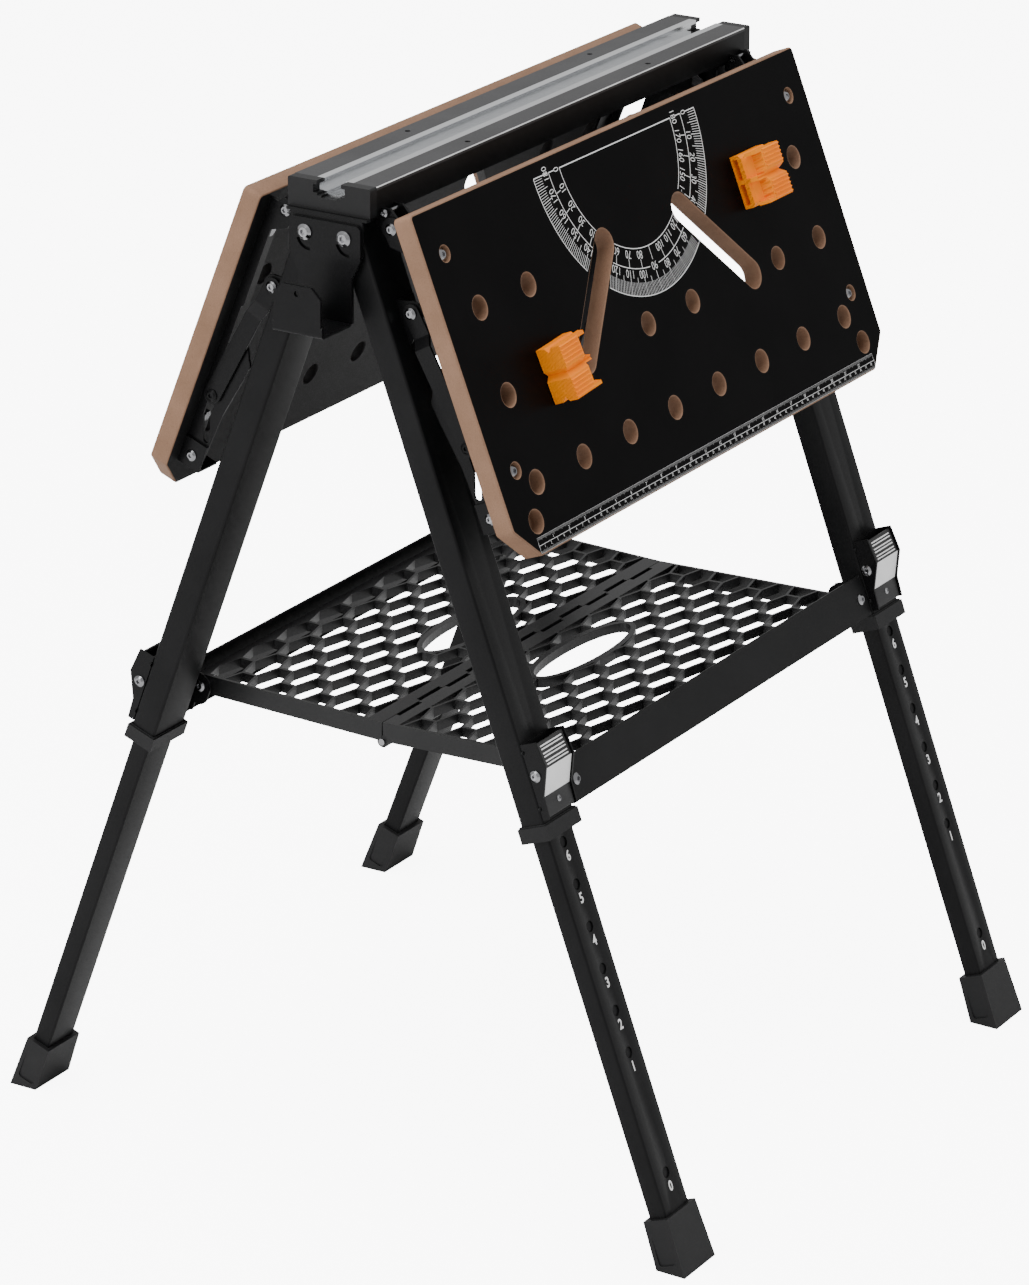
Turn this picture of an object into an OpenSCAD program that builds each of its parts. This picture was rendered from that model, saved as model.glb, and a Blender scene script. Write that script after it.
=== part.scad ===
// Folding sawhorse: a beam with a T-track, two drop-leaf tops, folding shelf trays and
// telescoping legs. X runs along the beam, Z is up, and the origin is on the floor under
// the middle of the beam. Every shape is written for the back, far corner (+X, +Y);
// near() mirrors it to -X and front() mirrors it to -Y.

/* [Beam] */
// Height of the beam's top above the floor
beam_top = 908; // [900:1:915]
// Length of the beam over its end caps
beam_len = 632; // [630:1:634]
// Width of the beam
beam_w = 80.8; // [80:0.2:82]
// Height of the beam's side
beam_h = 25; // [25:0.5:26]
// Width of the T-track over its flanges
track_w = 35.6; // [34:0.2:36]
// Width of the T-track's slot between its lips
track_slot_w = 21; // [19:0.5:22]
// Thickness of each plastic end cap
cap_t = 10; // [8:1:12]
// Distance between the four holes in the beam's top along X
top_hole_dx = 300; // [280:2:320]
// Distance between the four holes in the beam's top along Y
top_hole_dy = 60; // [56:1:64]

/* [Board hooks] */
// Clear gap of each hook, for the edge of a 38 mm board
hook_gap = 38.6; // [38.4:0.2:40]
// Thickness of the hook's steel plate
hook_t = 3; // [2.5:0.5:3]
// Height of the hook's floor above the ground
hook_floor_z = 793; // [788:1:800]
// Height of the front flange above the hook's floor
hook_lip_h = 39.4; // [30:0.2:42]

/* [Legs] */
// Distance of each leg's middle from the middle of the beam, along X
leg_x = 292; // [291:0.5:292]
// Tilt of the open legs from vertical
leg_tilt = 20.4; // [20.2:0.1:20.6]
// Distance of the leg pivots from the middle plane
pivot_y = 19.3; // [19:0.1:19.6]
// Height of the leg pivots
pivot_z = 865; // [864:0.5:866]
// Width of the upper leg tube along X
upper_w = 47.4; // [46:0.2:47.4]
// Thickness of the upper leg tube
upper_t = 24.4; // [24:0.2:24.6]
// Width of the lower leg tube along X
lower_w = 39; // [38:0.5:39]
// Thickness of the lower leg tube
lower_t = 17.6; // [17:0.2:17.8]
// Distance between two height holes in a lower leg
hole_pitch = 38.1; // [38:0.1:38.2]
// Radius of a height hole
hole_r = 4.9; // [4.8:0.1:5]

/* [Drop-leaf tops] */
// Length of each top board
board_len = 641; // [640:0.5:642]
// Width of each top board
board_w = 302; // [300:1:304]
// Thickness of each top board
board_t = 18; // [18:0.5:18]
// Chamfer at the two outer corners of each board
board_chamfer = 28.7; // [26:0.1:30]
// Tilt of a hanging board from vertical
wing_tilt = 21.645; // [21.4:0.005:21.9]
// Distance of the board hinges from the middle plane
hinge_y = 52; // [51.8:0.1:52.4]
// Height of the board hinges
hinge_z = 873; // [872.8:0.1:873.2]
// Spacing of the dog holes along the board
dog_pitch = 76.2; // [76:0.1:76.4]
// Radius of a dog hole
dog_hole_r = 10; // [9.8:0.1:10.2]
// Width of the two slanted clamp slots
slot_w = 26; // [24:0.5:27]

/* [Board stays] */
// Distance between the two pivots of a stay arm
arm_len = 119.6; // [119:0.1:120.2]
// Width of a stay arm
arm_w = 16; // [15:0.5:16]

/* [Shelf] */
// Height of the shelf's middle hinge pin
shelf_pin_z = 387; // [386.5:0.1:387.5]
// Half of the shelf trays' length
tray_half = 239; // [236:1:240]
// Height of the trays' side walls
tray_h = 17.5; // [17:0.1:17.8]
// Spacing of the honeycomb cells along the tray
cell_dx = 53.5; // [52:0.5:55]
// Spacing of the honeycomb rows across the tray
cell_dy = 20.6; // [20:0.1:21]

/* [Clamping dogs] */
// Length of a dog's body across its jaw
dog_len = 46; // [44:1:47]
// Width of a dog's body
dog_w = 48; // [46:1:48]
// Height of a dog's body above the board
dog_h = 25; // [24:0.5:26]

/* [Hidden] */
$fn = 48;

eps = 0.02;
fit = 0.05;          // radial clearance of a pin in its bore
air = 0.3;           // clearance between moving plates
steel_t = 2.5;       // thickness of the formed steel plates

beam_bottom = beam_top - beam_h;
strip_t = 3;
channel_half = beam_len / 2 - cap_t;
track_depth = 15;

// Places on a leg: s runs down the leg from its pivot and n points out of its outer face.
leg_end_s = 520;
collar_top_s = 516.5;
collar_h = 14.5;
lock_s = 501.9;
lower_top_s = 455;
retracted_s = 840;
foot_top_s = 874;
lower_end_s = 905;
latch_pin_s = 475;
latch_pin_n = 18.2;

// Radii of the pins and bolts
leg_bolt_r = 4;
pin_r = 3;
latch_pin_r = 2.4;
lock_pin_r = 4.4;

// The leg pivot bracket's inner plate, and the planes of the hinge ears, board rails
// and stays, each as a distance from the middle plane along X.
inner_plate_x = 264;
ear_in_x = 278.5;
ear_x = 296.7;
rail_x = 299.5;
stay_low_x = 303.1;
stay_high_x = 297;
arm_ear_x = 294.4;

// The board in its own frame: w runs down the board from the hinge and n points outward.
board_out_n = beam_top - hinge_z;
board_in_n = board_out_n - board_t;
board_top_w = -8.4;
slot_n = 5.95;

// The stay's upper pivot on the leg
stay_s = 75.6;
stay_n = 24.9;
stay_y = pivot_y + stay_s * sin(leg_tilt) + stay_n * cos(leg_tilt);
stay_z = pivot_z - stay_s * cos(leg_tilt) + stay_n * sin(leg_tilt);
stay_in_w = (stay_y - hinge_y) * sin(wing_tilt) - (stay_z - hinge_z) * cos(wing_tilt);
stay_in_n = (stay_y - hinge_y) * cos(wing_tilt) + (stay_z - hinge_z) * sin(wing_tilt);
stay_end_w = stay_in_w + sqrt(arm_len * arm_len - pow(slot_n - stay_in_n, 2));
stay_end_y = hinge_y + stay_end_w * sin(wing_tilt) + slot_n * cos(wing_tilt);
stay_end_z = hinge_z - stay_end_w * cos(wing_tilt) + slot_n * sin(wing_tilt);
stay_angle = atan2(stay_end_y - stay_y, stay_z - stay_end_z);

// The tray's outer pivot on the leg, and the tray's slope
tray_pivot_s = 489;
tray_pivot_n = -7;
tray_y = pivot_y + tray_pivot_s * sin(leg_tilt) + tray_pivot_n * cos(leg_tilt);
tray_z = pivot_z - tray_pivot_s * cos(leg_tilt) + tray_pivot_n * sin(leg_tilt);
tray_lift = pivot_y + tray_pivot_n;
tray_reach = norm([tray_y, tray_z - shelf_pin_z]);
tray_rise = atan2(tray_z - shelf_pin_z, tray_y) - asin(tray_lift / tray_reach);
tray_span = sqrt(tray_reach * tray_reach - tray_lift * tray_lift);
tray_bottom = 0.4;
tray_top = tray_bottom + tray_h;
tray_end_x = 251;

module front() { mirror([0, 1, 0]) children(); }
module near() { mirror([1, 0, 0]) children(); }
module both_ends() { children(); near() children(); }
module both_sides() { children(); front() children(); }

// Frames of a leg, a hanging board and a tray
module leg_frame() { translate([0, pivot_y, pivot_z]) rotate([leg_tilt, 0, 0]) children(); }
module on_leg() { leg_frame() translate([leg_x, 0, 0]) children(); }
module wing_frame() { translate([0, hinge_y, hinge_z]) rotate([wing_tilt, 0, 0]) children(); }
module tray_frame() { translate([0, 0, shelf_pin_z]) rotate([tray_rise, 0, 0]) children(); }

// An outline in Y and Z, extruded along X
module prism_x(x0, x1) {
    translate([x0, 0, 0]) rotate([90, 0, 90]) linear_extrude(height = x1 - x0) children();
}
// An outline in X and Z, extruded along Y
module prism_y(y0, y1) {
    translate([0, y1, 0]) rotate([90, 0, 0]) linear_extrude(height = y1 - y0) children();
}
module rod_x(x0, x1, r) { translate([x0, 0, 0]) rotate([0, 90, 0]) cylinder(h = x1 - x0, r = r); }
module rod_y(y0, y1, r) { translate([0, y0, 0]) rotate([-90, 0, 0]) cylinder(h = y1 - y0, r = r); }
module box(a, b) { translate(a) cube(b - a); }
module rect(a, b) { translate(a) square(b - a); }
module round_rect(a, b, r) {
    rect([a[0] + r, a[1]], [b[0] - r, b[1]]);
    rect([a[0], a[1] + r], [b[0], b[1] - r]);
    for (x = [a[0] + r, b[0] - r], y = [a[1] + r, b[1] - r]) translate([x, y]) circle(r = r);
}
// A button-head screw's head with a hexagon socket, standing on z = 0
module button_head(r, h) {
    difference() {
        union() {
            cylinder(h = 0.4 * h, r = r);
            translate([0, 0, 0.4 * h]) cylinder(h = 0.6 * h, r1 = r, r2 = 0.6 * r);
        }
        translate([0, 0, 0.45 * h]) cylinder(h = h, r = 0.42 * r, $fn = 6);
    }
}
module head_x(x, r, h) { translate([x, 0, 0]) rotate([0, 90, 0]) button_head(r, h); }
module head_y(y, r, h) { translate([0, y, 0]) rotate([-90, 0, 0]) button_head(r, h); }

// ---- Beam ----

module beam_section() {
    wall = 1.8;
    half = beam_w / 2;
    trough = track_w / 2;
    skin_top = beam_top - strip_t;
    difference() {
        union() {
            difference() {
                rect([-half, beam_bottom], [half, skin_top]);
                rect([wall - half, beam_bottom - 1], [half - wall, skin_top - wall]);
            }
            rect([-trough - wall, beam_top - track_depth - wall], [trough + wall, skin_top]);
            for (side = [-1, 1]) {
                rect([min(side * half, side * 30), beam_bottom],
                     [max(side * half, side * 30), beam_bottom + wall]);
            }
        }
        rect([-trough, beam_top - track_depth], [trough, beam_top]);
    }
}

module top_holes(z0, z1) {
    for (x = [-1, 1], y = [-1, 1]) {
        translate([x * top_hole_dx / 2, y * top_hole_dy / 2, z0]) cylinder(h = z1 - z0, r = 2.6);
    }
}

module beam_channel() {
    color("#161616") difference() {
        prism_x(-channel_half, channel_half) beam_section();
        top_holes(beam_top - 10, beam_top);
    }
}

module top_strips() {
    color("#3a3a3c") difference() {
        both_sides() prism_x(-channel_half, channel_half) difference() {
            rect([track_w / 2, beam_top - strip_t], [beam_w / 2, beam_top]);
            translate([beam_w / 2, beam_top]) rotate(45) square(1.2, center = true);
        }
        top_holes(beam_top - strip_t - 1, beam_top + 1);
    }
}

module t_track() {
    color("silver") prism_x(-channel_half, channel_half) difference() {
        rect([-track_w / 2, beam_top - track_depth], [track_w / 2, beam_top]);
        rect([-track_slot_w / 2, beam_top - 4], [track_slot_w / 2, beam_top + 1]);
        rect([-15.6, beam_top - 11], [15.6, beam_top - 3.2]);
        rect([-8, beam_top - 13.4], [8, beam_top - 10]);
    }
}

module end_caps() {
    half = beam_w / 2;
    color("#1b1b1b") both_ends() prism_x(channel_half, beam_len / 2) difference() {
        union() {
            rect([-half, beam_bottom], [half, beam_top - 2]);
            rect([2 - half, beam_bottom], [half - 2, beam_top]);
            for (side = [-1, 1]) translate([side * (half - 2), beam_top - 2]) circle(r = 2);
        }
        rect([-12, beam_top - 5], [12, beam_top + 1]);
        rect([-15.6, beam_top - 10.5], [15.6, beam_top - 3.5]);
        rect([-11.5, beam_top - 12.4], [11.5, beam_top - 10]);
        rect([-7.5, beam_top - 14.2], [7.5, beam_top - 12]);
    }
}

// Cross pins along the beam's lower edges, between the two ears of each hinge bracket
module beam_cross_pins() {
    color("silver") both_ends() both_sides() translate([0, 44.6, 885.5]) {
        rod_x(ear_in_x - 2, ear_x + 5, 2.2);
        head_x(ear_x + 5, 3.6, 2);
    }
}

// ---- Brackets at the ends of the beam ----

module plate_outline() {
    round_rect([-35, 848], [35, 877], 5);
    polygon([[-34, 856], [-35, 848], [-26.5, 831], [26.5, 831], [35, 848], [34, 856]]);
    rect([-26.5, hook_floor_z], [26.5, 832]);
}

// A curved slot under each leg bolt
module curved_slot() {
    intersection() {
        difference() {
            circle(r = 12.6);
            circle(r = 9.8);
        }
        polygon([[0, 0], [-1.7, -20], [20, -20], [19.3, -5.2]]);
    }
}

module end_bracket() {
    plate_x = 320;
    lip_x = plate_x + hook_t + hook_gap;
    lip_top = hook_floor_z + hook_lip_h;
    under = hook_floor_z - hook_t;
    color("#1a1a1a") {
        difference() {
            prism_x(plate_x, plate_x + hook_t) plate_outline();
            both_sides() translate([0, pivot_y, pivot_z]) rod_x(plate_x - 1, plate_x + 5, leg_bolt_r);
            for (y = [-pivot_y, pivot_y]) translate([0, y - 4, pivot_z - 3]) {
                prism_x(plate_x - 1, plate_x + 5) curved_slot();
            }
        }
        prism_y(-24.5, 24.5) difference() {
            round_rect([plate_x, under], [lip_x + hook_t, hook_floor_z + 8], hook_t);
            rect([plate_x + hook_t, hook_floor_z], [lip_x, hook_floor_z + 20]);
            rect([plate_x - 1, hook_floor_z + 4], [plate_x + hook_t, hook_floor_z + 20]);
        }
        difference() {
            prism_x(lip_x, lip_x + hook_t) polygon([
                [-23, under + 3], [23, under + 3], [23, lip_top - 9], [14, lip_top], [-14, lip_top],
                [-23, lip_top - 9]
            ]);
            translate([0, 0, lip_top - 7]) rod_x(lip_x - 1, lip_x + hook_t + 1, 2.6);
        }
    }
}
module end_bracket_far() { end_bracket(); }
module end_bracket_near() { near() end_bracket(); }

// Brackets under the beam: plates that carry the leg pivots and ears for the board hinges
module wing_hinge_brackets() {
    plate_bottom = 848;
    ear_r = 9;
    color("#1a1a1a") both_ends() difference() {
        union() {
            box([inner_plate_x, -39.5, beam_bottom - steel_t], [320, 39.5, beam_bottom]);
            for (x = [inner_plate_x, 320 - steel_t]) {
                prism_x(x, x + steel_t) round_rect([-35.4, plate_bottom], [35.4, beam_bottom], 5);
            }
            both_sides() for (x = [ear_in_x, ear_x]) prism_x(x, x + steel_t) {
                translate([hinge_y, hinge_z]) circle(r = ear_r);
                polygon([
                    [36, beam_bottom], [36, 874], [hinge_y - 7, hinge_z - 5], [hinge_y + 6, hinge_z + 6],
                    [49, 889], [beam_w / 2, 889], [beam_w / 2, beam_bottom]
                ]);
            }
        }
        both_sides() {
            translate([0, pivot_y, pivot_z]) rod_x(260, 322, leg_bolt_r);
            translate([0, hinge_y, hinge_z]) rod_x(270, 310, pin_r + 0.8);
            translate([0, 44.6, 885.5]) rod_x(270, 310, 2.2);
        }
    }
}

module leg_pivot_bolts() {
    color("silver") both_ends() both_sides() translate([0, pivot_y, pivot_z]) {
        rod_x(inner_plate_x - 2, 323.2, leg_bolt_r);
        head_x(323, 6.8, 3.2);
        translate([inner_plate_x - 6, 0, 0]) rotate([0, 90, 0]) cylinder(h = 6, r = 6.5, $fn = 6);
    }
}

// ---- Legs ----

module upper_leg() {
    wall = 1.5;
    w = upper_w / 2;
    t = upper_t / 2;
    color("#141414") on_leg() difference() {
        box([-w, -t, -leg_end_s], [w, t, 10]);
        box([wall - w, wall - t, -leg_end_s - 1], [w - wall, t - wall, 11]);
        rod_x(-w - 1, w + 1, leg_bolt_r + fit);
        translate([0, 0, -lock_s]) rod_y(0, t + 1, lock_pin_r + air);
    }
}
module back_leg_far() { upper_leg(); }
module back_leg_near() { near() upper_leg(); }
module front_leg_far() { front() upper_leg(); }
module front_leg_near() { front() near() upper_leg(); }

// Plastic collars at the lower ends of the upper tubes, which guide the lower tubes
module collars() {
    w = upper_w / 2;
    t = upper_t / 2;
    lip = 2.4;
    color("#1c1c1c") both_ends() on_leg() translate([0, 0, -collar_top_s - collar_h]) difference() {
        union() {
            box([-w - lip, -t - lip, 0], [w + lip, t + lip, collar_h - 1.2]);
            box([-w - 1.2, -t - 1.2, 0], [w + 1.2, t + 1.2, collar_h]);
        }
        box([-w, -t, collar_h + collar_top_s - leg_end_s], [w, t, collar_h + 1]);
        box([-lower_w / 2 - air, -lower_t / 2 - air, -1], [lower_w / 2 + air, lower_t / 2 + air, collar_h]);
    }
}
module back_collars() { collars(); }
module front_collars() { front() collars(); }

module lower_leg() {
    wall = 1.4;
    w = lower_w / 2;
    t = lower_t / 2;
    color("#141414") on_leg() difference() {
        box([-w, -t, -lower_end_s], [w, t, -lower_top_s]);
        box([wall - w, wall - t, -lower_end_s - 1], [w - wall, t - wall, 1 - lower_top_s]);
        for (i = [0 : 6]) translate([0, 0, -lock_s - i * hole_pitch]) rod_y(0, t + 1, hole_r);
        translate([0, 0, -retracted_s]) rod_y(0, t + 1, hole_r);
    }
}
module back_far_lower_leg() { lower_leg(); }
module back_near_lower_leg() { near() lower_leg(); }
module front_far_lower_leg() { front() lower_leg(); }
module front_near_lower_leg() { front() near() lower_leg(); }

// A boot-shaped foot: tapered in both directions, cut level with the floor
module foot() {
    top_w = lower_w / 2 + 4.4;
    top_t = lower_t / 2 + 3.6;
    low_w = 27.2;
    low_t = 13.6;
    low_s = 950;
    panel_s = 884;
    color("#181818") difference() {
        on_leg() difference() {
            intersection() {
                prism_x(-40, 40) polygon([
                    [-top_t, -foot_top_s], [top_t, -foot_top_s], [low_t, -low_s], [-low_t, -low_s]
                ]);
                prism_y(-40, 40) polygon([
                    [-top_w, -foot_top_s], [top_w, -foot_top_s], [low_w, -low_s], [-low_w, -low_s]
                ]);
            }
            box([-lower_w / 2, -lower_t / 2, -lower_end_s], [lower_w / 2, lower_t / 2, 1 - foot_top_s]);
            for (side = [-1, 1]) prism_x(min(side * (top_w + 0.6), side * 40), max(side * (top_w + 0.6), side * 40))
                round_rect([4 - top_t, -915], [top_t - 4, -panel_s], 3);
        }
        translate([0, 0, -100]) cube([1000, 1000, 200], center = true);
    }
}
module back_far_foot() { foot(); }
module back_near_foot() { near() foot(); }
module front_far_foot() { front() foot(); }
module front_near_foot() { front() near() foot(); }

// ---- Leg latches ----

// Side view of the latch frame's cheeks, from the tube's face outward
module cheek_outline() {
    t = upper_t / 2;
    polygon([
        [t, -446.5], [27.8, -446.5], [30.4, -470.5], [19.4, -494.4], [18.4, -513.6], [t, -513.6]
    ]);
}

module latch_frames() {
    t = upper_t / 2;
    w = 23.2;
    color("#191919") both_ends() on_leg() difference() {
        union() {
            box([-w, t, -513.6], [w, t + 1.8, -446.5]);
            for (x = [-w, w - 1.8]) prism_x(x, x + 1.8) cheek_outline();
            for (s = [453.5, 503.5], x = [-w, w]) translate([x, t, -s]) sphere(r = 2);
        }
        translate([0, 0, -lock_s]) rod_y(0, t + 3, lock_pin_r + air);
        translate([0, latch_pin_n, -latch_pin_s]) rod_x(-w - 1, w + 1, latch_pin_r);
        box([-w - 3, t - 4, -520], [w + 3, t, -440]);
    }
}
module back_latch_frames() { latch_frames(); }
module front_latch_frames() { front() latch_frames(); }

// The lever: a ribbed thumb press above its pin and a bright shoe below
module lever() {
    w = 20.9;
    skin = 2.2;
    top = [26.4, -448.5];
    knee = [28.9, -470.8];
    waist = [17.8, -494.6];
    toe = [16.9, -512.5];
    color("#9a9a9a") on_leg() difference() {
        union() {
            prism_x(-w, w) polygon([
                top, knee, waist, toe, [toe[0] - skin, toe[1]], [waist[0] - skin, waist[1] + 0.8],
                [knee[0] - skin, knee[1] + 0.8], [top[0] - skin, top[1]]
            ]);
            for (x = [-w, w - skin]) prism_x(x, x + skin) {
                polygon([
                    [21.8, -450], top, knee, waist, toe, [14.7, -512], [14.7, -480], [17, -466]
                ]);
                translate([latch_pin_n, -latch_pin_s]) circle(r = 3.6);
            }
            for (i = [0 : 5]) translate([0, 26.7 + i * 0.37, -451.6 - i * 3.2]) rod_x(4 - w, w - 4, 0.7);
        }
        translate([0, latch_pin_n, -latch_pin_s]) rod_x(-w - 1, w + 1, latch_pin_r + fit);
    }
}
module back_far_lever() { lever(); }
module back_near_lever() { near() lever(); }
module front_far_lever() { front() lever(); }
module front_near_lever() { front() near() lever(); }

module lock_pin() {
    color("silver") on_leg() translate([0, 0, -lock_s]) rod_y(lower_t / 2 + 0.35, 14.3, lock_pin_r);
}
module back_far_lock_pin() { lock_pin(); }
module back_near_lock_pin() { near() lock_pin(); }
module front_far_lock_pin() { front() lock_pin(); }
module front_near_lock_pin() { front() near() lock_pin(); }

// Torsion springs round the latch pins, each as its outer shape
module latch_springs() {
    color("gray") both_ends() on_leg() translate([0, latch_pin_n, -latch_pin_s]) difference() {
        rod_x(-9, 9, 3.7);
        rod_x(-10, 10, latch_pin_r + 0.1);
    }
}
module back_latch_springs() { latch_springs(); }
module front_latch_springs() { front() latch_springs(); }

// Pivot bolts that stay with a leg pair: two for the stays and two for the levers
module leg_bolts() {
    color("silver") both_ends() {
        on_leg() translate([0, latch_pin_n, -latch_pin_s]) {
            rod_x(-23.4, 23.4, latch_pin_r);
            head_x(23.2, 5.2, 2.6);
            mirror([1, 0, 0]) head_x(23.2, 5.2, 2.6);
        }
        leg_frame() translate([0, stay_n, -stay_s]) {
            rod_x(arm_ear_x - 2, stay_high_x + 2.6, pin_r);
            head_x(stay_high_x + 2.5, 5.2, 2.4);
            translate([arm_ear_x - 4, 0, 0]) rotate([0, 90, 0]) cylinder(h = 4, r = 5, $fn = 6);
        }
    }
}
module back_leg_bolts() { leg_bolts(); }
module front_leg_bolts() { front() leg_bolts(); }

// Ears on the legs' outer faces that carry the stays' upper pivots
module arm_ears() {
    t = upper_t / 2;
    color("#191919") both_ends() leg_frame() difference() {
        union() {
            prism_x(arm_ear_x, arm_ear_x + 2.3) {
                translate([stay_n, -stay_s]) circle(r = 10);
                polygon([
                    [t, -62], [stay_n, 10 - stay_s], [stay_n + 10, -stay_s], [stay_n + 4, -stay_s - 12],
                    [t, -102]
                ]);
            }
            box([arm_ear_x - 22, t, -102], [arm_ear_x + 2.3, t + 2, -62]);
        }
        translate([0, stay_n, -stay_s]) rod_x(arm_ear_x - 1, arm_ear_x + 4, pin_r);
    }
}
module back_arm_ears() { arm_ears(); }
module front_arm_ears() { front() arm_ears(); }

// ---- Drop-leaf tops ----

screw_x = 290;
screw_w = [31.6, 219.6];
blind_x = 285;
blind_w = 265.6;
row_w = [84.4, 160.4, 236.4];
row_columns = [[2.5, 3.5], [0.5, 2.5, 3.5], [0.5, 1.5, 2.5, 3.5]];
slot_from = [64.6, 80.9];
slot_to = [142.8, 162.8];

// Places a drill along the board's normal at x and w, from n0 to n1
module drill(x, w, n0, n1, r) { translate([x, 0, -w]) rod_y(n0, n1, r); }

module board() {
    edge_w = board_top_w + board_w;
    half = board_len / 2;
    chamfer = board_chamfer;
    through0 = board_in_n - 1;
    through1 = board_out_n + 1;
    color("#8c6a50") wing_frame() difference() {
        prism_y(board_in_n, board_out_n) polygon([
            [-half, -board_top_w], [half, -board_top_w], [half, chamfer - edge_w],
            [half - chamfer, -edge_w], [chamfer - half, -edge_w], [-half, chamfer - edge_w]
        ]);
        both_ends() {
            for (row = [0 : 2], column = row_columns[row]) {
                drill(column * dog_pitch, row_w[row], through0, through1, dog_hole_r);
            }
            for (w = screw_w) {
                drill(screw_x, w, through0, through1, 2.9);
                drill(screw_x, w, board_out_n - 4, through1, 7);
            }
            drill(blind_x, blind_w, board_out_n - 12, through1, dog_hole_r);
            prism_y(through0, through1) clamp_slot();
        }
    }
}
module clamp_slot() {
    run = slot_to - slot_from;
    translate([slot_from[0], -slot_from[1]]) rotate(-atan2(run[1], run[0])) {
        rect([0, -slot_w / 2], [norm(run), slot_w / 2]);
        for (x = [0, norm(run)]) translate([x, 0]) circle(d = slot_w);
    }
}
module back_board() { board(); }
module front_board() { front() board(); }

// Side view of a board rail's web: hinge eye, waist, stop boss and hooked stay slot
module web_outline() {
    circle(r = 9.5);
    translate([-8.7, -149.3]) circle(r = 8.5);
    difference() {
        polygon([
            [board_in_n, 3], [board_in_n, -262], [-4, -262], [-6, -240], [-8, -205], [-15, -165],
            [-17, -150], [-12, -138], [-6, -128], [-4, -122], [7.5, -122], [7.5, -24], [-7, -14], [-9, 3]
        ]);
        stay_slot();
    }
}
module stay_slot() {
    half = 3.6;
    end_w = 212;
    start_w = 104;
    hook = [-1.5, -232];
    turn = [slot_n, -end_w];
    run = norm(hook - turn);
    rect([slot_n - half, -end_w], [slot_n + half, -start_w]);
    for (w = [start_w, end_w]) translate([slot_n, -w]) circle(r = half);
    translate(turn) rotate(atan2(hook[1] - turn[1], hook[0] - turn[0])) {
        rect([0, -half], [run, half]);
        translate([run, 0]) circle(r = half);
    }
}

module board_rails() {
    flange_x = 277;
    tab_w = [238, 264];
    color("#191919") both_ends() wing_frame() difference() {
        union() {
            prism_x(rail_x, rail_x + steel_t) web_outline();
            box([flange_x, board_in_n - 2, -262], [rail_x + steel_t, board_in_n, -24]);
            box([rail_x + steel_t - eps, -6, -tab_w[1]], [rail_x + 2 * steel_t, board_in_n, -tab_w[0]]);
            box([flange_x, -6, -tab_w[1]], [rail_x + 2 * steel_t, board_in_n, 2 - tab_w[1]]);
        }
        rod_x(rail_x - 1, rail_x + 4, pin_r + fit);
        for (w = screw_w) drill(screw_x, w, board_in_n - 3, board_in_n + 1, 2.9);
    }
}
module back_board_rails() { board_rails(); }
module front_board_rails() { front() board_rails(); }

module board_screws() {
    head_n = board_out_n - 4;
    color("silver") both_ends() wing_frame() {
        for (w = screw_w) translate([screw_x, 0, -w]) {
            head_y(head_n, 5.6, 2.6);
            rod_y(board_in_n - 5, head_n + 0.1, 2.9);
            translate([0, board_in_n - 6, 0]) rotate([-90, 0, 0]) cylinder(h = 4, r = 5, $fn = 6);
        }
        translate([0, 5.5, -252.4]) head_x(rail_x + 2 * steel_t, 5, 2.4);
    }
}
module back_board_screws() { board_screws(); }
module front_board_screws() { front() board_screws(); }

module hinge_pins() {
    color("silver") both_ends() wing_frame() {
        rod_x(ear_in_x - 2, rail_x + steel_t + air + 0.1, pin_r);
        head_x(rail_x + steel_t + air, 5.2, 2.4);
    }
}
module back_hinge_pins() { hinge_pins(); }
module front_hinge_pins() { front() hinge_pins(); }

// A stay arm: a joggled flat bar from the leg's ear to the pin over the board rail's slot
module stay() {
    half = arm_w / 2;
    plate = 2.2;
    step0 = 21;
    step1 = 30;
    color("#1a1a1a") translate([0, stay_y, stay_z]) rotate([stay_angle, 0, 0]) difference() {
        union() {
            prism_x(stay_high_x, stay_high_x + plate) {
                circle(r = half);
                rect([-half, -step0 - plate], [half, 0]);
            }
            prism_y(-half, half) polygon([
                [stay_high_x, -step0], [stay_high_x + plate, -step0], [stay_low_x + plate, -step1],
                [stay_low_x + plate, -step1 - 1], [stay_low_x, -step1 - 1]
            ]);
            prism_x(stay_low_x, stay_low_x + plate) {
                translate([0, -arm_len]) circle(r = half);
                rect([-half, -arm_len], [half, -step1]);
            }
            translate([0, 0, -arm_len]) {
                rod_x(rail_x + steel_t + 0.35, stay_low_x + plate, 3.2);
                head_x(stay_low_x + plate - 0.1, 5.4, 2.6);
            }
        }
        rod_x(stay_high_x - 1, stay_high_x + 4, pin_r + fit);
    }
}
module back_far_stay() { stay(); }
module back_near_stay() { near() stay(); }
module front_far_stay() { front() stay(); }
module front_near_stay() { front() near() stay(); }

// ---- Shelf ----

shelf_pin_r = 3;
knuckle_r = 5.5;
knuckles = 5;
tray_out_y = tray_span + 10.4;
tray_in_y = 0.8;
hand_y = 59;
hand_half = [77, 20.5];
row_first = 176.6;

module shelf_hinge_pin() {
    color("silver") translate([0, 0, shelf_pin_z]) rod_x(-tray_half - 1.5, tray_half + 1.5, shelf_pin_r);
}

// Knuckle number i of the middle hinge spans this range of X
function knuckle_x(i) = -tray_half + 2 * tray_half * i / knuckles;

module hand_outline(grow) {
    polygon([
        for (i = [0 : 47]) [
            (hand_half[0] + grow) * cos(i * 7.5), hand_y + (hand_half[1] + grow) * sin(i * 7.5)
        ]
    ]);
}

// One honeycomb cell, stretched along X
module cell_outline() {
    wall = 1.6;
    w = cell_dx / 2 - wall;
    side = cell_dy / 3 - 0.4;
    tip = cell_dy * 2 / 3 - wall;
    polygon([[w, -side], [w, side], [0, tip], [-w, side], [-w, -side], [0, -tip]]);
}

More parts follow.
